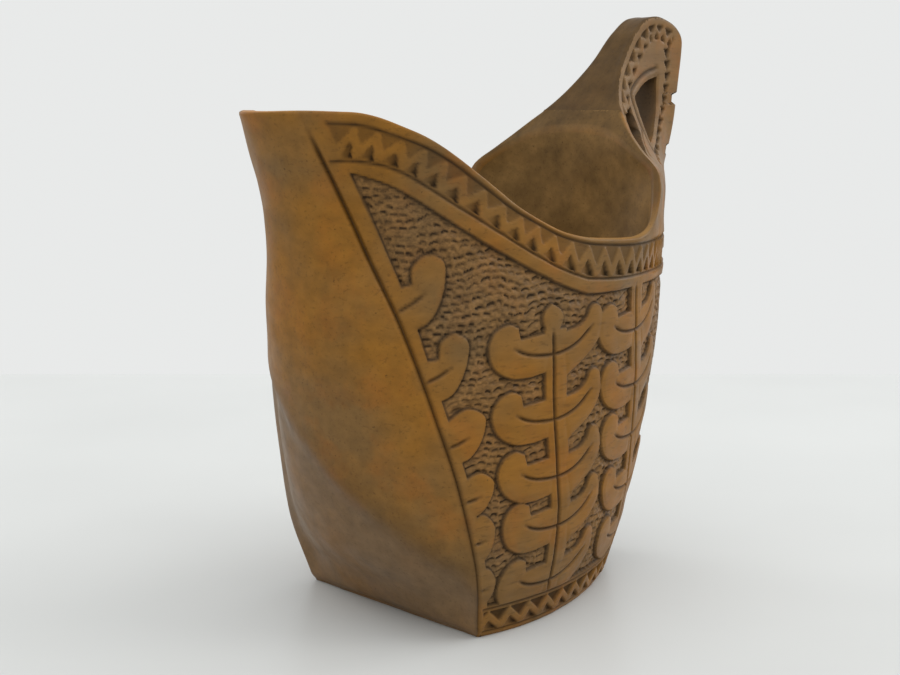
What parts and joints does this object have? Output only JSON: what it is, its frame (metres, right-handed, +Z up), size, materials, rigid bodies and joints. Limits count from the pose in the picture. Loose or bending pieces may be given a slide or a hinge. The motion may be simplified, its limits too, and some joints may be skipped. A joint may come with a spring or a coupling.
{
  "type": "carved wooden cup",
  "caption": "Tall carved wooden drinking cup with a raised pouring prow, a dipped rim, chip-carved leaf sides and a pierced, notched ear handle.",
  "frame": {"origin": "on the resting plane, at the middle of the bottom board's underside", "axes": "+Z up, -Y towards the pouring prow, +Y towards the handle, X across the cup"},
  "size_m": [0.0748, 0.1417, 0.1397],
  "materials": {
    "body_wood": "oiled, hand-carved, satin",
    "handle_wood": "oiled, hand-carved, satin",
    "bottom_wood": "oiled, scraped smooth"
  },
  "bodies": {
    "root": {"cup_body": "body_wood", "handle": "handle_wood", "cup_bottom": "bottom_wood"}
  },
  "joints": []
}
